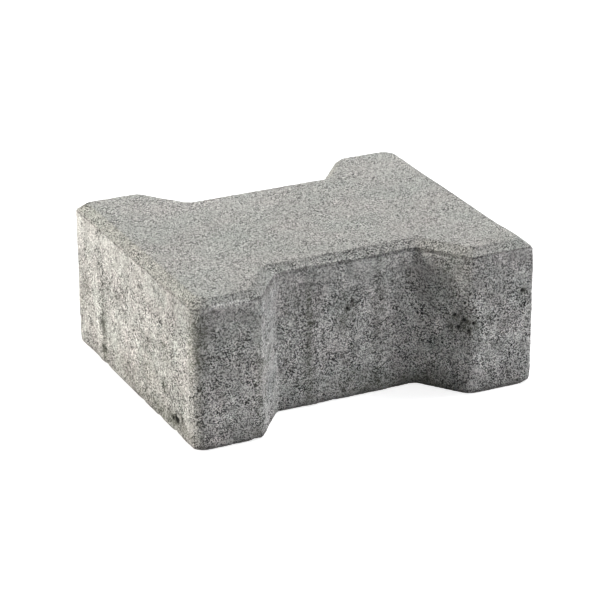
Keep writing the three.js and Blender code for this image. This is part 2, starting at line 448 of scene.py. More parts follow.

# Where the sides are darker: damp and dirty patches, and painted shade in the rows marked so.
STAINS_AND_SHADE = {
    # (9, 1) paints contact shade along the foot by the hollow corner.
    NEAR_RIGHT_FLANK: [(27, 40, 7, 5, 0.75), (9, 1, 10, 6, 1.3), (20, 60, 12, 14, 0.22)],
    NEAR_RIGHT_HEAD: [
        (1, 39, 3.5, 6, 0.9), (8, 58, 5, 6, 0.15), (10, 30, 3, 26, 0.3), (15, 22, 2, 12, 0.18),
        (21, 56, 1.8, 12, 0.24), (11, 17, 4, 8, 0.14), (28, 4, 8, 3, 0.3), (31, 53, 3, 4, 0.6),
        (20, 38, 3, 5, 0.4), (35, 40, 2.2, 3, 0.7),
    ],
    NEAR_WAIST: [
        # (18.3, 56) and (18.1, 15) paint shade on the shaded flank of the waist's nib; (60, 3) and
        # (76, 3) paint contact shade along the foot by the hollow corner.
        (42, 52, 4, 5, 0.45), (38, 44.5, 4, 4.5, 0.9), (78, 63, 4, 6, 0.4), (18.3, 56, 1.8, 18, 1),
        (18.1, 15, 2.1, 22, 1.1), (37, 24, 2, 12, 0.14), (55, 24, 2, 12, 0.2),
        (67, 24, 2, 12, 0.22), (60, 3, 22, 6, 0.6), (8.7, 56, 3, 14, 0.38), (40, 54, 3, 14, 0.24),
        (60.5, 46, 3, 28, 0.45), (58.5, 8, 2.4, 12, 0.4), (62, 77, 4, 3, 0.35),
        (38, 8, 14, 5, 0.42), (8, 15, 8, 4, 0.45), (19, 49, 5, 6, 0.15), (50, 12, 4, 4, 0.3),
        (43, 14, 4, 4, 0.3), (76, 3, 12, 3, 0.5),
    ],
    NEAR_LEFT_FLANK: [
        (17, 78, 12, 4, 1), (4, 22, 7, 20, 0.46), (26, 11, 4, 9, 0.6), (12, 41, 14, 8, 0.65),
        (0, 44, 5, 9, 0.2),
    ],
    NEAR_LEFT_HEAD: [
        (28, 62, 6, 7, 0.18), (6, 57, 6, 14, 0.24), (35.8, 34, 2, 40, 0.5), (3, 58, 4, 15, 0.2),
        (2, 48, 2.2, 4, 0.35), (35, 59, 2, 4, 0.3), (22.3, 55, 3.2, 14, 0.26), (33, 4, 6, 3, 0.4),
        (4, 66, 3.5, 10, 0.5), (1, 60, 2.2, 18, 0.35), (2, 34, 2.5, 14, 0.35),
        (2, 12, 2.5, 8, 0.25),
    ],
    LEFT_END: [
        (13, 38, 6, 6, 0.6), (6, 26, 6, 6, 0.8), (46, 20, 6, 5, 0.25), (69, 9, 19, 8, 0.5),
        (101, 23, 11, 7, 0.75), (125, 28, 5, 5, 0.2), (129, 69, 8, 5, 0.12), (149, 6, 7, 4, 1),
        # (38.2, 23), (39.2, 8) and (39, 34) paint shade on the shaded flank of the end's nib.
        (157, 46, 3, 7, 0.6), (38.2, 23, 2.5, 5, 0.8), (39.2, 8, 2.8, 7, 1), (39, 34, 1.4, 14, 0.4),
        (60, 24, 4, 12, 0.16), (17.8, 57, 2.8, 12, 0.38), (127, 42, 5, 22, 0.28),
        (158, 58, 3.6, 18, 1), (106, 26, 3, 24, 0.22), (96, 38, 3, 28, 0.14),
        (122, 38, 3, 28, 0.24), (114, 4, 34, 4, 0.12), (146, 24, 4, 12, 0.3), (57, 47, 3, 3, 0.4),
        (100, 38, 4, 3, 0.35), (122, 44, 3, 3, 0.35), (121, 20.5, 2.6, 2.8, 0.9),
        (118, 3.5, 4.5, 2.6, 1), (110, 13, 10, 6, 0.15), (136, 7, 4.2, 3.6, 1.2),
        (112, 6, 13, 3, 0.5), (130, 7, 4, 3, 0.8), (143.5, 10, 2.2, 2.4, 0.8), (89, 3, 3, 3, 0.4),
        (128, 4, 6, 3, 0.5),
    ],
}

# Single holes: distance, height, radius, depth.
HOLES = {
    LEFT_END: [
        (135.5, 7.5, 3, 2.4), (139.5, 8, 2, 1.9), (144, 10.5, 2.2, 2.1), (131, 6.5, 1.9, 1.8),
        (127.5, 9, 1.6, 1.6), (137, 12, 1.3, 0.9), (127, 3, 1.5, 0.8), (115, 3, 2.6, 1),
        (37, 24, 2.6, 1.1), (39, 9, 2.2, 1.4), (120, 20, 1.5, 1.4), (57, 46, 2, 0.8),
        (100, 38, 1.8, 0.7), (122, 45, 1.8, 0.7), (37, 57, 1.6, 0.6), (13, 41, 2, 0.8),
        (11, 55, 1.4, 0.7),
    ],
    NEAR_LEFT_FLANK: [(2, 74, 2, 1), (17, 65, 1.8, 0.8)],
    NEAR_WAIST: [(41, 51, 1.7, 1.5), (44, 54.5, 1.4, 1.5), (18, 57, 1.7, 0.7)],
    NEAR_RIGHT_FLANK: [
        (20, 38, 2.2, 1), (22.5, 44, 1.6, 1.6), (25, 37.5, 1.6, 1.7), (28, 42, 1.9, 1.7),
        (30.5, 36, 1.5, 1.6),
    ],
    NEAR_RIGHT_HEAD: [(1.5, 40.5, 1.5, 1.6), (31, 54, 2, 1.5), (20, 38, 1.6, 0.8)],
}

# Single chips out of the bottom arris: distance, reach along it, size.
CHIPS = {
    LEFT_END: [
        (136, 5, 1.5), (141, 3, 0.9), (26, 26, 0.6), (115, 5, 0.9), (92, 4, 0.5), (40, 6, 0.9),
    ],
    NEAR_LEFT_HEAD: [(34, 5, 1.4), (1, 6, 0.6), (20, 22, 0.6)],
    NEAR_LEFT_FLANK: [(16, 24, 1.7)],
    NEAR_WAIST: [(33, 5, 0.6), (22, 30, 0.5), (72, 32, 0.9)],
    NEAR_RIGHT_FLANK: [(8, 16, 0.5)],
    NEAR_RIGHT_HEAD: [(36, 5, 2)],
    RIGHT_END: [(60, 7, 1.4)],
    FAR_RIGHT_HEAD: [(8, 6, 1.7)],
    FAR_WAIST: [(55, 8, 1.2)],
    FAR_LEFT_HEAD: [(30, 5, 1.9)],
}

# Foot of the chamfer: distance, how far its lip stands over the ledge, how dark the band under
# it is painted (painted shade in the recess under the lip, with crumbly pores), and how pale its
# edge is (worn, and partly a painted highlight where the ledge catches light).
LIP = {
    NEAR_LEFT_HEAD: [
        (1, 0.5, 0.3, 0.15), (6, 0.3, 0.1, 0.3), (9, 0.8, 0.1, 2.1), (27, 0.8, 0.1, 2.1),
        (31, 0.6, 0.1, 0.6), (35, 0.7, 0.5, 0.2),
    ],
    NEAR_LEFT_FLANK: [
        (8, 1.2, 0.72, 0.08), (15, 1.9, 1.08, 0.08), (20, 1.8, 1.08, 0.08), (26, 1.4, 0.81, 0.08),
    ],
    NEAR_WAIST: [
        (2, 1.32, 0.4, 0.6), (6, 1.58, 0.72, 0.6), (16, 1.76, 0.68, 0.6), (25, 1.58, 0.76, 0.6),
        (42, 1.14, 0.8, 0.6), (44.5, 0.44, 0.64, 0.3), (53, 0.4, 0.66, 0.12), (57, 1, 0.82, 0.12),
        (67, 1.2, 0.86, 0.12), (71, 1.5, 0.78, 0.12), (80, 1.3, 0.57, 0.12),
    ],
    NEAR_RIGHT_FLANK: [
        (6, 1.3, 0.7, 0.09), (17, 1.3, 0.9, 0.12), (20, 0.8, 0.8, 0.15), (30, 0.8, 0.4, 0.15),
    ],
    NEAR_RIGHT_HEAD: [(10, 0.9, 0.26, 0.28), (17, 0.9, 0.26, 0.28), (36, 0.6, 0.08, 0.1)],
    RIGHT_END: [
        (12, 0.1, 0.3, 0.12), (40, 0.1, 0.6, 0.15), (70, 0.4, 0.8, 0.12), (100, 0.8, 0.5, 0.19),
        (150, 0.7, 0.3, 0.15),
    ],
    FAR_RIGHT_HEAD: [(20, 0.9, 0.6, 0.15)],
    FAR_RIGHT_FLANK: [(16, 1.4, 0.8, 0.12)],
    FAR_WAIST: [(12, 1.8, 0.9, 0.19), (40, 0.9, 0.4, 0.25), (66, 1.7, 0.8, 0.15)],
    FAR_LEFT_FLANK: [(14, 1.2, 0.5, 0.19)],
    FAR_LEFT_HEAD: [(20, 0.6, 0.3, 0.25)],
    LEFT_END: [
        (4, 0.4, 0.03, 0.19), (25, 0.8, 0.07, 0.19), (50, 0.8, 0.1, 0.19), (75, 0.7, 0.07, 0.19),
        (100, 0.8, 0.14, 0.19), (125, 0.9, 0.21, 0.19), (156, 0.4, 0.35, 0.09),
    ],
}

# The chamfer itself: distance, how much wider than usual it is, how pale, or dark if negative,
# and how dark the line along its upper edge is.
CHAMFER = {
    NEAR_LEFT_HEAD: [(8, -0.8, 0.03, 1), (28, -0.8, 0.03, 1)],
    NEAR_LEFT_FLANK: [(8, 1.8, -0.12, 1.5), (26, 1.9, -0.12, 1.5)],
    NEAR_WAIST: [(6, 0.2, 0, 2.1), (30, 0.2, 0, 2.1), (60, 0.5, 0, 2.1)],
    NEAR_RIGHT_FLANK: [(8, 0.7, 0, 1.5), (26, 0.7, 0, 1.5)],
    NEAR_RIGHT_HEAD: [(10, 0, 0, 1), (30, -0.1, -0.05, 1)],
    RIGHT_END: [(6, -0.2, 0, 1), (25, 0.9, 0, 1), (55, 0.7, 0, 1), (80, 0.4, 0, 1), (120, 0, 0, 1)],
    FAR_RIGHT_HEAD: [(10, -1.2, 0, 1), (30, -1.1, 0, 1)],
    FAR_RIGHT_FLANK: [(16, -0.3, -0.05, 1)],
    FAR_WAIST: [(10, -0.6, 0, 1), (70, -0.6, 0, 1)],
    FAR_LEFT_FLANK: [(16, -0.3, -0.05, 1)],
    FAR_LEFT_HEAD: [(8, -0.9, 0, 1), (30, -0.8, 0, 1)],
    LEFT_END: [(15, 0, 0.1, 0.7), (75, 0, 0.1, 0.7), (140, 0, 0.08, 0.7)],
}


# The skin

def rows(table):
    """The rows of a table kept by side, each with its side in front."""
    return [(side, *row) for side, found in table.items() for row in found]


def profiles(outline, table):
    """What a table of places along the outline gives at each column, with even runs in between."""
    entries = rows(table)
    at = np.array([outline.place(side, distance * MM) for side, distance, *_ in entries])
    at %= outline.perimeter
    order = np.argsort(at)
    kept = np.array([values for _, _, *values in entries])[order]
    return [np.interp(outline.along, at[order], values, period=outline.perimeter)
            for values in kept.T]


def patches(outline, height, table):
    """Sum of soft round patches on the sides, one value for each point of the skin."""
    total = np.zeros(height.shape)
    for side, distance, up, reach_along, reach_up, strength in rows(table):
        along = outline.beside(side, distance * MM)[:, None] / (reach_along * MM)
        rise = (height - up * MM) / (reach_up * MM)
        total += strength * np.exp(-(along ** 2 + rise ** 2))
    return total


def broken_up(place, base, seed, broad_seed):
    """The dark band under a lip along its run, partly painted shade: ragged, and about base."""
    fine = 0.8 * noise(place, 2.5, seed, 2, 0.6)
    return base + fine + 0.45 * noise(place, 9, broad_seed, 2)


def nib_swell(outline, sizes, height):
    """How far the spacer nibs lift the sides."""
    waist = outline.lengths[NEAR_WAIST] / 2
    end = sizes.width / 2 - sizes.end_nib_offset
    # Each nib's side, its distance from the side's corner, and what is left of its foot.
    nibs = (
        (NEAR_WAIST, waist - sizes.waist_nib_offset, 0.85),
        (NEAR_WAIST, waist + sizes.waist_nib_offset, 0.7),
        (FAR_WAIST, waist - sizes.waist_nib_offset, 0.6),
        (FAR_WAIST, waist + sizes.waist_nib_offset, 0.9),
        (LEFT_END, end, 0.25),
        (RIGHT_END, end, 0.8),
    )
    rise = np.clip(height / sizes.nib_height, 0, 1)
    proud = sizes.nib_proud + (sizes.nib_top_proud - sizes.nib_proud) * rise
    fading = soft_step(sizes.nib_height - sizes.nib_runout, sizes.nib_height, height)
    proud = proud * (1 - fading)
    total = np.zeros(height.shape)
    for side, distance, foot in nibs:
        across = outline.beside(side, distance)[:, None] / (sizes.nib_width / 2)
        kept = foot + (1 - foot) * soft_step(0, NIB_FOOT, height)
        total = np.maximum(total, proud * kept * np.sqrt(np.clip(1 - across ** 2, 0, 1)))
    return total


def sink_holes(outline, height, warp, rng, relief, openness):
    """Depth of the pores, voids and single holes at each point of the sides."""
    depth = np.zeros(height.shape)
    holes = []
    top = height.max()
    # How many, and their least and largest radius and depth in millimetres.
    for count, radii, depths in (
        (relief.pores, (0.7, 1.3), (0.35, 0.8)),
        (relief.voids, (1.3, 2.3), (0.5, 1.1)),
    ):
        for _ in range(count):
            position, up = rng.uniform(0, outline.perimeter), rng.uniform(0, top)
            keep = rng.uniform()
            radius, deep = rng.uniform(*radii) * MM, rng.uniform(*depths) * MM
            column = np.searchsorted(outline.along, position) % len(outline.along)
            row = np.abs(height[column] - up).argmin()
            if keep < openness[column, row]:
                holes.append((position, up, radius, deep))
    for side, distance, up, radius, deep in rows(HOLES):
        holes.append((outline.place(side, distance * MM), up * MM, radius * MM, deep * MM))
    for position, up, radius, deep in holes:
        gap = outline.gap(position)
        columns = np.flatnonzero(np.abs(gap) < radius * 2.5)
        along = gap[columns][:, None] + warp[0][columns]
        rise = height[columns] - up + warp[1][columns]
        away = np.sqrt(along ** 2 + rise ** 2) / radius
        depth[columns] = np.maximum(depth[columns], deep * (1 - soft_step(0.25, 1.15, away)))
    return depth


def arris_loss(outline, relief):
    """How much of the bottom arris is worn away at each column."""
    feet, seed = outline.feet, relief.seed
    loss = relief.arris_wear * (1 + 0.6 * noise(feet, 5, seed + 5, 3, 0.75))
    for side, distance, reach, size in rows(CHIPS):
        gap = outline.beside(side, distance * MM)
        loss = loss + size * MM * bell(gap, reach * MM * 0.6)
    for start in outline.starts[~outline.hollow]:
        loss = loss + 0.5 * MM * bell(outline.gap(start), 3 * MM)
    loss = loss * (1 + 0.5 * noise(feet, 2.2, seed + 6, 2, 0.8))
    return np.clip(loss, 0.35 * MM, 4.5 * MM)


def side_grid(outline, relief, ledge_height):
    """Points of the sides, still smooth, up from the worn bottom arris to just under the ledge."""
    loss = arris_loss(outline, relief)
    bends = np.linspace(0, math.pi / 2, ARRIS_RINGS)
    inset = [loss * (1 - math.sin(bend)) for bend in bends]
    height = [loss * 1.25 * (1 - math.cos(bend)) for bend in bends]
    foot, top = height[-1], ledge_height - 0.25 * MM
    levels = int((ledge_height - 1.5 * MM) / relief.step)
    for level in range(1, levels + 1):
        inset.append(np.zeros(len(loss)))
        height.append(foot + (top - foot) * level / levels)
    inner = outline.ring(
        BED_REACH, np.where(outline.hollow, outline.radii + BED_REACH, 1.5 * MM))
    return outline.grid(inner, np.stack(inset, axis=1), BED_REACH, np.stack(height, axis=1))


def make_sides(outline, sizes, relief, rng):
    """Points of the sides from the bottom arris to the ledge, and what is known at each of them."""
    seed = relief.seed
    ledge_height = sizes.thickness - sizes.chamfer_drop - sizes.ledge_drop
    place = side_grid(outline, relief, ledge_height)
    height = place[..., 2].copy()
    under_lip = ledge_height - height

    # Where cement covers the side, and where it is open.
    cover = noise(place, (13, 13, 10), seed + 1, 4, 0.6) * 1.5
    cover += 0.5 * noise(place, (5, 5, 60), seed + 2, 2)
    film_marks = patches(outline, height, FILM_PATCHES)
    cover += 0.35 * film_marks - 0.75 * patches(outline, height, OPEN_PATCHES)
    fine_band = soft_step(*FINE_RELIEF, height)
    film = soft_step(-0.15, 0.35, cover)
    openness = np.clip(1 - film + 0.10, 0, 1) * (1 - 0.72 * fine_band)
    warp = [noise(place, 2.6, seed + 11 + k, 2) * 0.8 * MM for k in range(2)]
    hollow = sink_holes(outline, height, warp, rng, relief, openness)

    # How far the mould, the concrete and the nibs lift the skin.
    lift = relief.swell * noise(place, (45, 45, 30), seed + 21, 2)
    streak = noise(place, (2.4, 2.4, 42), seed + 22, 2, 0.6)
    broad = noise(place, (7, 7, 70), seed + 23, 2, 0.6)
    lift += relief.drag * (streak + 0.9 * broad)
    grit = noise(place, 2.3, seed + 24, 2, 0.7)
    lift += relief.harshness * grit * (0.35 + 0.65 * (1 - film)) * (1 - 0.35 * fine_band)
    lift += 0.10 * MM * film
    waviness = 1 + 0.12 * noise(place, 6, seed + 25, 2)
    lift += nib_swell(outline, sizes, height) * waviness

    # What the upright arrises have lost.
    edge = np.min([np.abs(outline.gap(start)) for start in outline.starts[~outline.hollow]], axis=0)
    nick = 0.55 + 0.9 * noise(place, (6, 6, 9), seed + 31, 3, 0.7)
    low = 1 + 1.2 * (1 - soft_step(0, 18 * MM, height))
    worn = relief.corner_wear * np.clip(nick, 0, 1.6) * low
    lift -= worn * bell(edge[:, None], 2.2 * MM)

    # The groove under the chamfer's lip and the band painted dark in it, partly painted shade in
    # its recess and partly crumbly pores; blunted corners; pale edges, partly a painted highlight;
    # and painted contact shade along the foot.
    _, joint_and_shade, pale = profiles(outline, LIP)
    groove = 1 - soft_step(0.2 * MM, 1.7 * MM, under_lip)
    broken = joint_and_shade[:, None] * np.clip(broken_up(place, 0.60, seed + 41, seed + 43), 0.1, 1.1)
    lift -= 0.25 * MM * groove * broken
    lift -= outline.blunt[:, None] * (1 - soft_step(0, 8 * MM, under_lip))
    # Pale line along the lip's edge, worn and partly a painted highlight where the ledge catches
    # light; the pale patches add bloom and painted light.
    scuff_and_light = 0.08 * pale[:, None] * (1 - soft_step(0.1 * MM, 0.6 * MM, under_lip))
    scuff_and_light = scuff_and_light * np.clip(1 - 1.5 * broken, 0, 1) + patches(outline, height, PALE_AND_LIT_PATCHES)
    # Painted contact shade: the sides darken towards the bottom, least on the ends.
    foot_shade = 2.0 * np.exp(-height / (1.5 * MM)) + 0.25 * np.exp(-height / (5 * MM))
    foot_shade = foot_shade * np.clip(0.9 + 0.7 * noise(place, 4, seed + 44, 3, 0.7), 0.3, 1.3)
    foot_shade *= 0.4 + 0.6 * np.abs(outline.normals[:, 1:])
    seam_and_shade = np.clip(np.maximum(groove ** 2 * broken * 0.7, foot_shade), 0, 1)
    stain_and_shade = np.clip(patches(outline, height, STAINS_AND_SHADE), 0, 1)

    calm = soft_step(0, 3 * MM, height)
    lift -= hollow * (0.4 + 0.6 * calm)
    lift *= soft_step(-0.6 * MM, 1.2 * MM, height)
    place[..., :2] += outline.normals[:, None] * lift[..., None]
    shuffle = np.clip(0.25 * MM * noise(place, 1.9, seed + 42, 2), -0.2 * MM, 0.2 * MM)
    place[..., 2] += shuffle * calm * soft_step(0, 2 * MM, under_lip)
    return place, dict(
        film=film, hollow=np.minimum(hollow / MM, DEEPEST), stain_and_shade=stain_and_shade, seam_and_shade=seam_and_shade,
        scuff_and_light=np.clip(scuff_and_light, 0, 1))


def make_shoulder(outline, sizes, relief):
    """Rings from the ledge over the chamfer to the wearing face."""
    seed = relief.seed
    top, rim, ledge = sizes.thickness, sizes.chamfer_run, sizes.ledge
    foot = top - sizes.chamfer_drop
    ledge_height = foot - sizes.ledge_drop
    rise, joint_and_shade, pale = profiles(outline, LIP)
    wider, bloom_and_light, line = profiles(outline, CHAMFER)
    rise = rise * (1 + 0.25 * noise(outline.feet, 3.5, seed + 53, 2))
    rise += 0.12 * noise(outline.feet, 2, seed + 54, 2)
    lip = foot + np.maximum(rise, 0) * MM
    flat = np.zeros(len(rise))
    # Inset, share of the chamfer's extra width, height, and how dark the skin is there: the rings
    # under the lip take the painted shade of its recess.
    rings = [
        (0.12 * MM, 0, flat + ledge_height - 0.05 * MM, 0.8),
        (0.40 * MM, 0, flat + ledge_height, 1.0),
        (ledge + 0.20 * MM, 0, ledge_height + 0.35 * (lip - ledge_height), 1.0),
        (ledge + 0.15 * MM, 0, ledge_height + 0.8 * (lip - ledge_height), 0.9),
        (ledge, 0, lip, 0.0),
    ]
    for share, dark in ((0.06, 0.0), (0.3, 0.0), (0.6, 0.0), (0.86, 0.20), (0.97, 0.22)):
        rings.append((ledge + (rim - ledge) * share, share, lip + (top - lip) * share, dark))
    rings += [
        (rim + 0.15 * MM, 1, flat + top - 0.04 * MM, 0.0),
        (rim + RIM_REACH, 1, flat + top, 0.0),
    ]
    insets, shares, heights, darks = zip(*rings)
    inset = np.array(insets)
    moved = inset + wider[:, None] * MM * np.array(shares)
    place = outline.grid(
        outline.ring(inset[-1], outline.rim), moved, inset[-1], np.stack(heights, axis=1))

    crumb = noise(place, 3.0, seed + 51, 3, 0.65)
    waver = noise(place * (1, 1, 0), 9, seed + 52, 3, 0.6)
    at_rim, at_lip = bell(inset - rim, 1.2 * MM), bell(inset - ledge, 0.7 * MM)
    blunt = outline.blunt[:, None] * np.clip(1 - inset / (2.5 * MM), 0, 1)
    drop = 0.11 * MM * crumb + 0.16 * MM * waver * at_rim
    outward = 0.25 * MM * waver * at_lip * np.minimum(1, inset / (0.4 * MM)) - blunt
    place[..., :2] += outline.normals[:, None] * (outward + 0.5 * drop * (1 - at_rim))[..., None]
    place[..., 2] += drop * np.minimum(1, inset / ledge) - 0.5 * blunt

    chamfer = soft_step(0.5 * MM, 0.9 * MM, inset)
    chamfer = chamfer * (1 - soft_step(rim - 0.2 * MM, rim + 0.4 * MM, inset))
    # Pale line along the ledge: worn, and partly a painted highlight where the ledge catches light.
    scuff_and_light = 0.8 * pale[:, None] * bell(inset - ledge - 0.1 * MM, 0.3 * MM)
    scuff_and_light = scuff_and_light * np.clip(0.72 + 0.4 * noise(place, 4, seed + 56, 2), 0.3, 1.1)
    scuff_and_light = np.maximum(scuff_and_light, chamfer * np.maximum(bloom_and_light, 0)[:, None])
    strength = np.where(inset < 2 * ledge, joint_and_shade[:, None], line[:, None])
    broken = np.clip(broken_up(place, 0.66, seed + 55, seed + 43), 0.1, 1)
    return place, dict(
        hollow=np.clip(-crumb * 0.1, 0, 1), wear=np.broadcast_to(chamfer, moved.shape),
        stain_and_shade=chamfer * np.maximum(-bloom_and_light, 0)[:, None], seam_and_shade=np.array(darks) * strength * broken,
        scuff_and_light=np.clip(scuff_and_light, 0, 1))


def inside(points, ring):
    """Which points lie inside a ring."""
    found = np.zeros(len(points), bool)
    x, y = points[:, 0], points[:, 1]
    for (x0, y0), (x1, y1) in zip(ring, np.roll(ring, -1, axis=0)):
        crosses = (y0 > y) != (y1 > y)
        if crosses.any():
            found ^= crosses & (x < x0 + (y - y0) * (x1 - x0) / (y1 - y0))
    return found


def fill(ring, step, margin, height, rng):
    """Points at a height, and triangles, that fill a ring in plan. The ring's points come first."""
    low, high = ring.min(axis=0), ring.max(axis=0)
    grid = []
    for k, y in enumerate(np.arange(low[1], high[1], step * math.sqrt(3) / 2)):
        x = np.arange(low[0] + (step / 2 if k % 2 else 0), high[0], step)
        grid.append(np.column_stack([x, np.full(len(x), y)]))
    grid = np.concatenate(grid)
    grid += rng.uniform(-0.12, 0.12, grid.shape) * step
    back = ring - np.roll(ring, -1, axis=0)
    inward = np.column_stack([back[:, 1], -back[:, 0]])
    inward /= np.maximum(np.linalg.norm(inward, axis=1, keepdims=True), 1e-9)
    grid = grid[inside(grid, (ring + inward * margin)[::2])]
    points = np.concatenate([ring, grid])
    loop = [list(range(len(ring)))]
    found = geometry.delaunay_2d_cdt([Vector(p) for p in points], [], loop, 1, 1e-7)
    if len(found[0]) != len(points):
        raise RuntimeError("the fill moved or merged points of the stone's face")
    return np.column_stack([points, np.full(len(points), height)]), np.array(found[2])


def make_face(ring, relief, sizes, rng):
    """The wearing face: an even field with shallow unevenness and a few pores."""
    place, faces = fill(ring[:, :2], relief.face_step, 0.7 * MM, sizes.thickness, rng)
    lift = 0.10 * MM * noise(place, 3.6, relief.seed + 61, 2, 0.7)
    lift += 0.12 * MM * noise(place, 38, relief.seed + 62, 2)
    hollow = np.zeros(len(place))
    corner = np.array((sizes.length / 2, sizes.width / 2))
    for _ in range(relief.face_pores):
        at = rng.uniform(-corner, corner)
        radius, deep = rng.uniform(1.0, 1.9) * MM, rng.uniform(0.15, 0.5) * MM
        away = np.linalg.norm(place[:, :2] - at, axis=1) / radius
        hollow = np.maximum(hollow, deep * (1 - soft_step(0.2, 1.1, away)))
    place[:, 2] += np.minimum(lift - hollow, 0.12 * MM)
    clouds = np.zeros(len(place))
    for x, y, reach, strength in FACE_CLOUDS:
        away = ((place[:, 0] - x * MM) ** 2 + (place[:, 1] - y * MM) ** 2) / (reach * MM) ** 2
        clouds += strength * np.exp(-away)
    return place, faces, dict(
        hollow=hollow / MM, stain_and_shade=np.maximum(-clouds, 0), scuff_and_light=np.maximum(clouds, 0))


def make_bed(ring, relief, rng):
    """The bedding face, which stays flat but for its open pores."""
    place, faces = fill(ring[:, :2], 3.2 * MM, 1.2 * MM, 0, rng)
    harsh = noise(place, 7, relief.seed + 71, 3, 0.7)
    place[:, 2] = np.clip(BED_PORES * (harsh - 0.1), 0, BED_PORES)
    return place, faces, dict(hollow=place[:, 2] / MM)


def band_faces(columns, levels):
    """Quads between neighbouring columns of a closed band, numbered column by column."""
    column, level = np.meshgrid(np.arange(columns), np.arange(levels - 1), indexing="ij")
    near, far = column * levels + level, (column + 1) % columns * levels + level
    return np.stack([near, far, far + 1, near + 1], axis=-1).reshape(-1, 4)


def lay_out_map(mesh, outline, sizes, levels):
    """The piece's own surface map: the sides in four strips, and the two faces seen in plan."""
    # Width of the map, and what is kept free round its parts and beside the sides' strips.
    room, margin, gap = 0.412, 2 * MM, 6 * MM

    def read(items, name, width=1, kind=np.int32):
        values = np.empty(len(items) * width, kind)
        items.foreach_get(name, values)
        return values

    vertex = read(mesh.loops, "vertex_index")
    co = read(mesh.vertices, "co", 3, float).reshape(-1, 3)[vertex]
    corners = read(mesh.polygons, "loop_total")
    slot = np.repeat(read(mesh.polygons, "material_index"), corners)
    polygon = np.repeat(np.arange(len(corners)), corners)

    along = np.append(outline.along, outline.perimeter)
    reach = outline.perimeter / 4
    places = np.empty((len(vertex), 2))
    side, face, bed = slot == SIDE_SLOT, slot == FACE_SLOT, slot == BED_SLOT
    column = polygon[side] // (levels - 1)
    ahead = (vertex[side] // levels != column).astype(int)
    strip = np.minimum((along[column] / reach).astype(int), 3)
    places[side, 0] = along[column + ahead] - strip * reach + margin
    places[side, 1] = co[side, 2] + strip * (sizes.thickness + 3 * MM) + margin
    across = margin + reach + gap + sizes.length / 2
    places[face] = co[face, :2] + (across, sizes.width / 2 + margin)
    places[bed] = co[bed, :2] * (1, -1) + (across, sizes.width * 1.5 + gap)
    layer = mesh.uv_layers.new(name="OFBake")
    layer.uv.foreach_set("vector", (places / room).astype(np.float32).ravel())


def make_stone(sizes, relief):
    """Casts the whole skin as one closed mesh."""
    rng = np.random.default_rng(relief.seed)
    outline = Outline(sizes, relief.step)
    sides, side_facts = make_sides(outline, sizes, relief, rng)
    shoulder, shoulder_facts = make_shoulder(outline, sizes, relief)
    face, face_triangles, face_facts = make_face(shoulder[:, -1], relief, sizes, rng)
    bed, bed_triangles, bed_facts = make_bed(sides[:, 0], relief, rng)
    band = np.concatenate([sides, shoulder], axis=1)
    columns, levels = band.shape[:2]
    points = np.concatenate([band.reshape(-1, 3), face[columns:], bed[columns:]])

    parts = (sides, side_facts), (shoulder, shoulder_facts), (face, face_facts), (bed, bed_facts)
    facts = {}
    for name in FACTS:
        on_sides, on_shoulder, on_face, on_bed = (
            known.get(name, np.zeros(place.shape[:-1])) for place, known in parts)
        on_band = np.concatenate([on_sides, on_shoulder], axis=1)
        if name in ("scuff_and_light", "stain_and_shade"):
            on_band[:, -1] = on_face[:columns]
        facts[name] = np.concatenate([on_band.ravel(), on_face[columns:], on_bed[columns:]])

    # The band's first and last rings are those of the bedding face and the wearing face.
    first_ring = np.arange(columns) * levels
    face_start = columns * levels
    bed_start = face_start + len(face) - columns
    face_key = np.append(first_ring + levels - 1, np.arange(face_start, bed_start))
    bed_key = np.append(first_ring, np.arange(bed_start, len(points)))
    quads = band_faces(columns, levels)
    level = np.tile(np.arange(levels - 1), columns)
    slots = np.concatenate([
        np.where(level < sides.shape[1] + JOINT_BANDS, SIDE_SLOT, FACE_SLOT),
        np.full(len(face_triangles), FACE_SLOT), np.full(len(bed_triangles), BED_SLOT)])
    polygons = []
    for corners in (quads, face_key[face_triangles], bed_key[bed_triangles][:, ::-1]):
        polygons += corners.tolist()

    mesh = bpy.data.meshes.new("paving_stone_skin")
    mesh.from_pydata(points.tolist(), [], polygons)
    mesh.polygons.foreach_set("material_index", slots.astype(np.int32))
    mesh.polygons.foreach_set("use_smooth", np.ones(len(slots), bool))
    for name, values in facts.items():
        kept = mesh.attributes.new(name, "FLOAT", "POINT")
        kept.data.foreach_set("value", values.astype(np.float32))
    lay_out_map(mesh, outline, sizes, levels)
    mesh.validate()
    mesh.update()
    return mesh


# Nodes

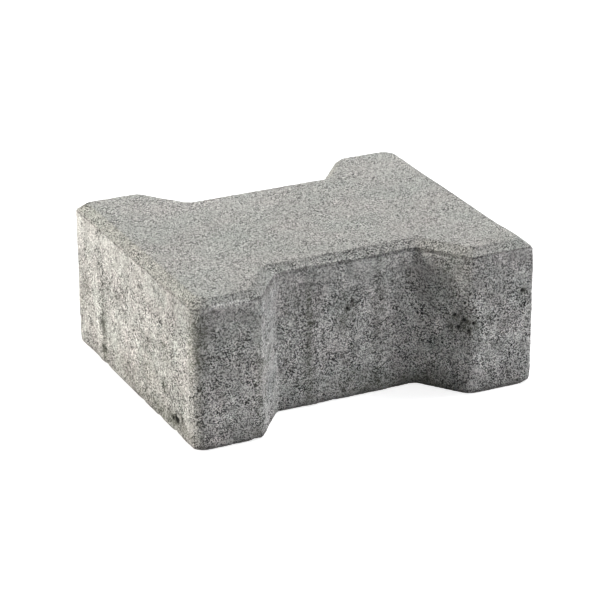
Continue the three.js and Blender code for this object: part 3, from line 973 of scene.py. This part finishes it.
class Nodes:
    """A node tree, and short calls for what is done in it most."""

    def __init__(self, tree, groups=None):
        self.tree, self.groups = tree, groups

    def add(self, kind, **settings):
        """Adds a node of a kind, with these settings."""
        node = self.tree.nodes.new(kind)
        count = len(self.tree.nodes)
        node.location = (count % 9 * 190, -(count // 9) * 260)
        for name, value in settings.items():
            setattr(node, name, value)
        return node

    def plug(self, socket, value):
        """Links a socket, or writes a plain number or colour into it."""
        if isinstance(value, bpy.types.NodeSocket):
            self.tree.links.new(value, socket)
        else:
            socket.default_value = value

    def join(self, kind, *values, **settings):
        """Adds a node, plugs its first sockets and gives its first output."""
        node = self.add(kind, **settings)
        for socket, value in zip(node.inputs, values):
            self.plug(socket, value)
        return node.outputs[0]

    def calc(self, operation, first, second):
        return self.join("ShaderNodeMath", first, second, operation=operation)

    def plus(self, first, second):
        return self.calc("ADD", first, second)

    def minus(self, first, second):
        return self.calc("SUBTRACT", first, second)

    def times(self, first, second):
        return self.calc("MULTIPLY", first, second)

    def most(self, first, *others):
        """The largest of several values."""
        for other in others:
            first = self.calc("MAXIMUM", first, other)
        return first

    def span(self, value, low, high, to_low=0.0, to_high=1.0, smooth=False):
        """Turns low to high into to_low to to_high, and stops there."""
        return self.join("ShaderNodeMapRange", value, low, high, to_low, to_high,
                         interpolation_type="SMOOTHSTEP" if smooth else "LINEAR")

    def blend(self, share, first, second, mode="MIX"):
        """Turns the first colour into the second by a share."""
        node = self.add("ShaderNodeMix", data_type="RGBA", blend_type=mode)
        self.plug(node.inputs[0], share)
        for socket, value in ((node.inputs[6], first), (node.inputs[7], second)):
            plain = not isinstance(value, bpy.types.NodeSocket)
            self.plug(socket, (*value[:3], 1.0) if plain else value)
        return node.outputs[2]

    def stretch(self, vector, size, length=1.0):
        """Coordinates counted in grains of a size in millimetres, drawn out upright by length."""
        per = self.calc("DIVIDE", 1000.0, size)
        tall = self.calc("DIVIDE", per, length)
        scale = self.join("ShaderNodeCombineXYZ", per, per, tall)
        return self.join("ShaderNodeVectorMath", vector, scale, operation="MULTIPLY")

    def cloud(self, vector, detail=2.0, roughness=0.5, distortion=0.0):
        """Noise with grains one unit wide, as a number and as a colour."""
        node = self.add("ShaderNodeTexNoise")
        for name, value in (("Vector", vector), ("Scale", 1.0), ("Detail", detail),
                            ("Roughness", roughness), ("Distortion", distortion)):
            self.plug(node.inputs[name], value)
        return node.outputs["Fac"], node.outputs["Color"]

    def cells(self, vector):
        """Cells one unit wide: how far their middle is, and two numbers that each cell has."""
        node = self.add("ShaderNodeTexVoronoi", voronoi_dimensions="3D", feature="F1")
        self.plug(node.inputs["Vector"], vector)
        node.inputs["Scale"].default_value = 1.0
        first, second, _ = self.parts(node.outputs["Color"])
        return node.outputs["Distance"], first, second

    def parts(self, colour):
        """A colour's red, green and blue."""
        node = self.add("ShaderNodeSeparateColor")
        self.plug(node.inputs[0], colour)
        return node.outputs

    def use(self, group, vector, **values):
        """What one of the shared node groups gives."""
        node = self.add("ShaderNodeGroup", node_tree=self.groups[group])
        self.plug(node.inputs["Vector"], vector)
        for name, value in values.items():
            self.plug(node.inputs[name.replace("_", " ").title()], value)
        return node.outputs

    def fact(self, name):
        """A value that the skin keeps at each of its points."""
        return self.add("ShaderNodeAttribute", attribute_name=name).outputs["Fac"]

    def shaded(self, colour, tone, swing):
        """Colour times a grain's tone, times a slow share that swings about zero."""
        factor = self.span(self.times(tone, self.plus(swing, 1.0)), 0.1, 2.1, 0.1, 2.1)
        grey = self.join("ShaderNodeCombineColor", factor, factor, factor)
        return self.blend(1.0, colour, grey, "MULTIPLY")

    def tinted(self, colour, warmth):
        """Colour turned slightly cool or warm."""
        turn = self.blend(warmth, (0.975, 1.008, 0.998), (1.028, 0.994, 1.000))
        return self.blend(1.0, colour, turn, "MULTIPLY")


def new_group(name, inputs, outputs):
    """A node group with a Vector, number inputs (name, default, low, high) and number outputs."""
    group = bpy.data.node_groups.new(name, "ShaderNodeTree")
    group.interface.new_socket("Vector", in_out="INPUT", socket_type="NodeSocketVector")
    for label, default, low, high in inputs:
        socket = group.interface.new_socket(
            label, in_out="INPUT", socket_type="NodeSocketFloat")
        socket.default_value, socket.min_value, socket.max_value = default, low, high
    for label in outputs:
        group.interface.new_socket(label, in_out="OUTPUT", socket_type="NodeSocketFloat")
    nodes = Nodes(group)
    return nodes, nodes.add("NodeGroupInput").outputs, nodes.add("NodeGroupOutput").inputs


# Finishes

def sand_grain_group():
    """Fine sand, dark or pale: thickly strewn in some places and drowned in cement in others."""
    nodes, given, gives = new_group(
        "Sand grain",
        [("Size", 0.5, 0.1, 10.0), ("Contrast", 0.8, 0.0, 1.0), ("Patch Size", 8.0, 0.5, 50.0),
         ("Patchiness", 0.5, 0.0, 1.0), ("Pale Grains", 0.1, 0.0, 1.0)],
        ["Tone", "Pale", "Height"])
    spread, _ = nodes.cloud(nodes.stretch(given["Vector"], given["Patch Size"]), 3.0, 0.6)
    spread = nodes.span(spread, 0.38, 0.62, smooth=True)
    drowned = nodes.times(spread, given["Patchiness"])
    bare = nodes.minus(1.0, drowned)
    away, shade, _ = nodes.cells(nodes.stretch(given["Vector"], given["Size"]))
    swing = nodes.times(nodes.span(shade, 0.41, 0.59, -1.0, 1.0), given["Contrast"])
    tone = nodes.plus(nodes.times(swing, bare), 1.0)
    nodes.plug(gives["Tone"], nodes.plus(tone, nodes.times(drowned, 0.1)))
    wide = nodes.stretch(given["Vector"], nodes.times(given["Size"], 2.4))
    far, chance, _ = nodes.cells(wide)
    core = nodes.span(far, 0.6, 0.25, smooth=True)
    pale = nodes.times(nodes.calc("LESS_THAN", chance, given["Pale Grains"]), core)
    nodes.plug(gives["Pale"], pale)
    soft, _ = nodes.cloud(wide, 2.0, 0.6)
    proud = nodes.plus(nodes.minus(0.6, away), nodes.times(soft, 1.2))
    nodes.plug(gives["Height"], nodes.times(nodes.plus(proud, pale), bare))
    return nodes.tree


def pores_group():
    """Scattered small pores with ragged edges."""
    nodes, given, gives = new_group(
        "Open pores",
        [("Size", 2.0, 0.2, 20.0), ("Coverage", 0.4, 0.0, 1.0), ("Raggedness", 0.5, 0.0, 2.0)],
        ["Mask"])
    at = nodes.stretch(given["Vector"], given["Size"])
    _, shift = nodes.cloud(nodes.stretch(given["Vector"], nodes.times(given["Size"], 0.45)))
    shift = nodes.join("ShaderNodeVectorMath", shift, (0.5, 0.5, 0.5), operation="SUBTRACT")
    scaled = nodes.add("ShaderNodeVectorMath", operation="SCALE")
    nodes.plug(scaled.inputs[0], shift)
    nodes.plug(scaled.inputs["Scale"], given["Raggedness"])
    moved = nodes.join("ShaderNodeVectorMath", at, scaled.outputs[0], operation="ADD")
    away, _, chance = nodes.cells(moved)
    radius = nodes.times(nodes.minus(given["Coverage"], chance), 0.9)
    mask = nodes.span(nodes.minus(radius, away), -0.12, 0.12, smooth=True)
    nodes.plug(gives["Mask"], mask)
    return nodes.tree


def streaks_group():
    """Upright marks from the mould's walls."""
    nodes, given, gives = new_group(
        "Drag streaks", [("Width", 3.0, 0.2, 50.0), ("Length", 14.0, 1.0, 100.0)], ["Value"])
    drawn = nodes.stretch(given["Vector"], given["Width"], given["Length"])
    nodes.plug(gives["Value"], nodes.minus(nodes.cloud(drawn, 3.0, 0.6)[0], 0.5))
    return nodes.tree


def film_group():
    """Cement film: breaks up a soft mask into ragged patches."""
    nodes, given, gives = new_group(
        "Paste film",
        [("Cover", 0.5, 0.0, 1.0), ("Patch Size", 4.0, 0.5, 50.0), ("Crispness", 0.5, 0.0, 1.0)],
        ["Mask"])
    at = nodes.stretch(given["Vector"], given["Patch Size"])
    value, _ = nodes.cloud(at, 5.0, 0.68, 0.3)
    lifted = nodes.plus(given["Cover"], nodes.times(nodes.minus(value, 0.5), 2.2))
    half = nodes.minus(0.55, nodes.times(given["Crispness"], 0.45))
    low, high = nodes.minus(0.5, half), nodes.plus(0.5, half)
    nodes.plug(gives["Mask"], nodes.span(lifted, low, high, smooth=True))
    return nodes.tree


def clouding_group():
    """Slow clouding of the cement: light and dark, warm and cool."""
    nodes, given, gives = new_group("Clouding", [("Size", 25.0, 1.0, 200.0)], ["Value", "Warmth"])
    value, colour = nodes.cloud(nodes.stretch(given["Vector"], given["Size"]), 3.0, 0.55)
    nodes.plug(gives["Value"], nodes.minus(value, 0.5))
    nodes.plug(gives["Warmth"], nodes.span(nodes.parts(colour)[1], 0.3, 0.7))
    return nodes.tree


def make_groups():
    """The finishes' node groups, by the names that the materials use them under."""
    return dict(grain=sand_grain_group(), pores=pores_group(), streaks=streaks_group(),
                film=film_group(), clouding=clouding_group())


def new_material(name, groups):
    """A material, its nodes and the coordinates that its finish follows."""
    material = bpy.data.materials.new(name)
    material.use_nodes = True
    nodes = Nodes(material.node_tree, groups)
    return material, nodes, nodes.add("ShaderNodeTexCoord").outputs["Object"]


def weathered(nodes, colours, colour, grain, swing, dark, stain_and_shade):
    """Colour with bloom, painted light, sand, dark pores and joints, stains and painted shade."""
    # Bloom and worn edges, and painted light on the lit flanks of nibs, a hollow corner and the
    # ledges.
    colour = nodes.blend(nodes.fact("scuff_and_light"), colour, colours.bloom_and_light)
    colour = nodes.shaded(colour, grain["Tone"], swing)
    colour = nodes.blend(nodes.times(grain["Pale"], 0.6), colour, colours.sand)
    # Painted shade: the band under each lip and the foot darken towards the pores' colour.
    dark = nodes.most(dark, nodes.times(nodes.fact("seam_and_shade"), 0.75))
    colour = nodes.blend(dark, colour, colours.pore_and_shade)
    # Stains, and painted shade on the nibs' shaded flanks and at the foot.
    return nodes.blend(stain_and_shade, colour, colours.stain_and_shade)


def finish(nodes, colour, roughness, grain, pores, sink, depth):
    """Plugs a finish into the material's shader, with the grains proud and the pores sunk."""
    shader = nodes.tree.nodes["Principled BSDF"]
    bump = nodes.add("ShaderNodeBump")
    height = nodes.plus(grain["Height"], nodes.times(pores, -sink))
    for socket, value in (
        (bump.inputs["Strength"], 1.0), (bump.inputs["Distance"], depth),
        (bump.inputs["Height"], height), (shader.inputs["Normal"], bump.outputs[0]),
        (shader.inputs["Base Color"], colour), (shader.inputs["Roughness"], roughness),
        (shader.inputs["Specular IOR Level"], 0.3),
    ):
        nodes.plug(socket, value)


def side_material(groups, colours):
    material, nodes, vector = new_material("Pressed concrete side", groups)
    film = nodes.use("film", vector, cover=nodes.fact("film"), patch_size=3.4,
                     crispness=0.25)["Mask"]
    open_part = nodes.minus(1.0, film)
    ragged = nodes.use("clouding", vector, size=3.0)["Value"]
    stained_and_shaded = nodes.times(nodes.fact("stain_and_shade"), nodes.span(ragged, -0.13, 0.13, 0.45, 1.25))
    height = nodes.add("ShaderNodeSeparateXYZ")
    nodes.plug(height.inputs[0], vector)
    calm = nodes.span(height.outputs[2], *FINE_GRAIN, 1.0, 0.72)
    contrast = nodes.times(nodes.span(film, 0.0, 1.0, 1.0, 0.8), calm)
    grain = nodes.use("grain", vector, size=0.52, contrast=contrast, patch_size=7.0,
                      patchiness=0.4, pale_grains=0.05)
    coverage = nodes.plus(nodes.times(open_part, 0.34), 0.14)
    coverage = nodes.plus(coverage, nodes.times(stained_and_shaded, 0.35))
    small = nodes.use("pores", vector, size=1.2, coverage=coverage, raggedness=0.9)
    coverage = nodes.times(open_part, 0.36)
    large = nodes.use("pores", vector, size=3.6, coverage=coverage, raggedness=0.8)
    pores = nodes.most(small["Mask"], large["Mask"])
    streaks = nodes.use("streaks", vector, width=2.6, length=16.0)["Value"]
    clouding = nodes.use("clouding", vector, size=16.0)

    colour = nodes.tinted(nodes.blend(film, colours.side, colours.film), clouding["Warmth"])
    swing = nodes.plus(nodes.times(streaks, 0.40), nodes.times(clouding["Value"], 0.35))
    # Painted shade in the holes: the side darkens with each hole's depth.
    hollow = nodes.span(nodes.fact("hollow"), 0.15, 0.8, smooth=True)
    dark = nodes.most(nodes.times(pores, 0.7), nodes.times(hollow, 0.6))
    stain_and_shade = nodes.times(stained_and_shaded, nodes.span(grain["Tone"], 0.7, 1.3, 0.85, 0.40))
    colour = weathered(nodes, colours, colour, grain, swing, dark, stain_and_shade)
    # Painted shade: the deepest holes turn near black.
    deep = nodes.span(nodes.fact("hollow"), 0.9, 1.3, 0.0, 0.9)
    colour = nodes.blend(deep, colour, colours.deep)
    roughness = nodes.span(film, 0.0, 1.0, 0.95, 0.82)
    finish(nodes, colour, roughness, grain, pores, 1.0, 0.25 * MM)
    return material


def face_material(groups, colours):
    material, nodes, vector = new_material("Fine concrete face", groups)
    wear = nodes.fact("wear")
    contrast = nodes.span(wear, 0.0, 1.0, 0.84, 0.88)
    contrast = nodes.times(contrast, nodes.span(nodes.fact("scuff_and_light"), 0.2, 1.0, 1.0, 0.4))
    grain = nodes.use("grain", vector, size=0.44, contrast=contrast, patch_size=9.0,
                      patchiness=0.4, pale_grains=0.05)
    coverage = nodes.span(wear, 0.0, 1.0, 0.16, 0.10)
    pores = nodes.use("pores", vector, size=1.2, coverage=coverage, raggedness=0.9)["Mask"]
    clouding = nodes.use("clouding", vector, size=30.0)

    colour = nodes.tinted(colours.face, clouding["Warmth"])
    swing = nodes.times(clouding["Value"], 0.08)
    # Painted shade in the pores: the face darkens with their depth.
    hollow = nodes.span(nodes.fact("hollow"), 0.1, 0.6, smooth=True)
    dark = nodes.most(nodes.times(pores, 0.55), nodes.times(hollow, 0.4))
    colour = weathered(nodes, colours, colour, grain, swing, dark, nodes.fact("stain_and_shade"))
    roughness = nodes.span(grain["Tone"], 0.6, 1.4, 0.97, 0.88)
    finish(nodes, colour, roughness, grain, pores, 0.8, 0.16 * MM)
    return material


def bed_material(groups, colours):
    material, nodes, vector = new_material("Bedding face concrete", groups)
    grain = nodes.use("grain", vector, size=0.6, contrast=0.9, patch_size=10.0,
                      patchiness=0.5, pale_grains=0.06)
    pores = nodes.use("pores", vector, size=3.2, coverage=0.5, raggedness=0.9)["Mask"]
    clouding = nodes.use("clouding", vector, size=22.0)["Value"]
    colour = nodes.shaded(colours.side, grain["Tone"], nodes.times(clouding, 0.4))
    # Painted shade in the pores: the bed darkens with their depth.
    dark = nodes.most(nodes.times(pores, 0.6), nodes.fact("hollow"))
    colour = nodes.blend(dark, colour, colours.pore_and_shade)
    roughness = nodes.span(grain["Tone"], 0.6, 1.4, 0.97, 0.9)
    finish(nodes, colour, roughness, grain, pores, 1.2, 0.35 * MM)
    return material


# The studio

def put(name, data):
    """A new object in the scene."""
    made = bpy.data.objects.new(name, data)
    bpy.context.scene.collection.objects.link(made)
    return made


def direction(azimuth, elevation):
    """The way from the stone to something round it and above it."""
    level = math.cos(elevation)
    return Vector((math.sin(azimuth) * level, -math.cos(azimuth) * level, math.sin(elevation)))


def place_light(name, azimuth, elevation, distance, size, watts, colour):
    """A soft round lamp that looks at the stone. Its direction is in degrees."""
    light = bpy.data.lights.new(name, "AREA")
    light.shape, light.size, light.energy, light.color = "DISK", size, watts, colour
    lamp = put(name, light)
    toward = direction(math.radians(azimuth), math.radians(elevation))
    lamp.location = LOOK_AT + toward * distance
    lamp.rotation_mode = "QUATERNION"
    lamp.rotation_quaternion = toward.to_track_quat("Z", "Y")


def seen_directly(nodes):
    """1 for what the camera sees, straight or in a reflection."""
    path = nodes.add("ShaderNodeLightPath").outputs
    return nodes.most(
        path["Is Camera Ray"], path["Is Glossy Ray"], path["Is Transmission Ray"])


def make_floor(studio):
    mesh = bpy.data.meshes.new("studio_floor")
    corners = [(x * FLOOR_HALF, y * FLOOR_HALF, -FLOOR_SINK)
               for x, y in ((-1, -1), (1, -1), (1, 1), (-1, 1))]
    mesh.from_pydata(corners, [], [(0, 1, 2, 3)])
    material = bpy.data.materials.new("Studio floor")
    material.use_nodes = True
    nodes = Nodes(material.node_tree)
    shader = nodes.tree.nodes["Principled BSDF"]
    for name, value in (
        ("Base Color", (*studio.floor, 1)), ("Roughness", 1.0), ("Specular IOR Level", 0.0),
        ("Emission Color", (1, 1, 1, 1)),
        ("Emission Strength", nodes.times(seen_directly(nodes), studio.floor_glow)),
    ):
        nodes.plug(shader.inputs[name], value)
    mesh.materials.append(material)
    return put("studio_floor", mesh)


def make_world(studio):
    world = bpy.data.worlds.new("Studio")
    bpy.context.scene.world = world
    world.use_nodes = True
    nodes = Nodes(world.node_tree)
    background = nodes.tree.nodes["Background"]
    background.inputs["Color"].default_value = (1, 1, 1, 1)
    nodes.plug(background.inputs["Strength"],
               nodes.span(seen_directly(nodes), 0.0, 1.0, studio.sky, 1.0))


def make_camera(studio):
    data = bpy.data.cameras.new("Studio camera")
    data.sensor_width, data.lens = 36, studio.lens
    data.clip_start, data.clip_end = 0.05, 50
    camera = put("Studio camera", data)
    back = direction(studio.azimuth, studio.elevation)
    level = Vector((0, 0, 1)).cross(back).normalized()
    upright = back.cross(level)
    c, s = math.cos(studio.roll), math.sin(studio.roll)
    right, top = level * c + upright * s, upright * c - level * s
    turned = Matrix((right, top, back)).transposed().to_4x4()
    turned.translation = right * studio.slide + top * studio.rise + back * studio.distance
    camera.matrix_world = turned
    bpy.context.scene.camera = camera


# Operators

class STONE_OT_cast(Operator):
    """Cast the paving stone's detailed skin over its solid"""
    bl_idname = "paving.cast_stone"
    bl_label = "Cast Paving Stone"
    bl_options = {"REGISTER", "UNDO"}

    def execute(self, context):
        scene = context.scene
        mesh = make_stone(scene.stone_sizes, scene.stone_relief)
        groups = make_groups()
        for make in (side_material, face_material, bed_material):
            mesh.materials.append(make(groups, scene.stone_colours))
        piece = put("paving_stone_cast", mesh)
        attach(piece, "root")
        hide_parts(STONE)
        return {"FINISHED"}


class STONE_OT_studio(Operator):
    """Set up the floor, the soft lamps and the camera"""
    bl_idname = "paving.set_up_studio"
    bl_label = "Set Up Studio"
    bl_options = {"REGISTER", "UNDO"}

    def execute(self, context):
        studio = context.scene.studio_settings
        context.scene.view_settings.view_transform = "Standard"
        make_floor(studio)
        make_world(studio)
        place_light("Key lamp", -112.5, 15.5, 1.62, 0.7, studio.key_power, studio.key_tint)
        place_light("Side lamp", 90, 56, 1.6, 0.9, studio.side_power, studio.fill_tint)
        place_light("Fill lamp", 45, 15.5, 1.62, 0.7, studio.fill_power, studio.fill_tint)
        place_light("Back lamp", 157.5, 15.5, 1.62, 0.7, studio.back_power, studio.fill_tint)
        make_camera(studio)
        return {"FINISHED"}


class STONE_PT_sidebar(Panel):
    """Sizes, wear, colours and studio of the paving stone"""
    bl_idname = "STONE_PT_sidebar"
    bl_label = "Paving Stone"
    bl_space_type = "VIEW_3D"
    bl_region_type = "UI"
    bl_category = "Paving"

    def draw(self, context):
        layout = self.layout
        scene = context.scene
        for operator, groups in (
            (STONE_OT_cast, (scene.stone_sizes, scene.stone_relief, scene.stone_colours)),
            (STONE_OT_studio, (scene.studio_settings,)),
        ):
            column = layout.column(align=True)
            column.operator(operator.bl_idname)
            for group in groups:
                for name in group.__annotations__:
                    column.prop(group, name)


CLASSES = (
    StoneSizes, StoneRelief, StoneColours, StudioSettings,
    STONE_OT_cast, STONE_OT_studio, STONE_PT_sidebar,
)


def register():
    for made in CLASSES:
        bpy.utils.register_class(made)
    bpy.types.Scene.stone_sizes = PointerProperty(type=StoneSizes)
    bpy.types.Scene.stone_relief = PointerProperty(type=StoneRelief)
    bpy.types.Scene.stone_colours = PointerProperty(type=StoneColours)
    bpy.types.Scene.studio_settings = PointerProperty(type=StudioSettings)


def unregister():
    for name in ("stone_sizes", "stone_relief", "stone_colours", "studio_settings"):
        delattr(bpy.types.Scene, name)
    for made in reversed(CLASSES):
        bpy.utils.unregister_class(made)


def main():
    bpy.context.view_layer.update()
    register()
    bpy.ops.paving.set_up_studio()
    bpy.ops.paving.cast_stone()


if __name__ == "__main__":
    main()
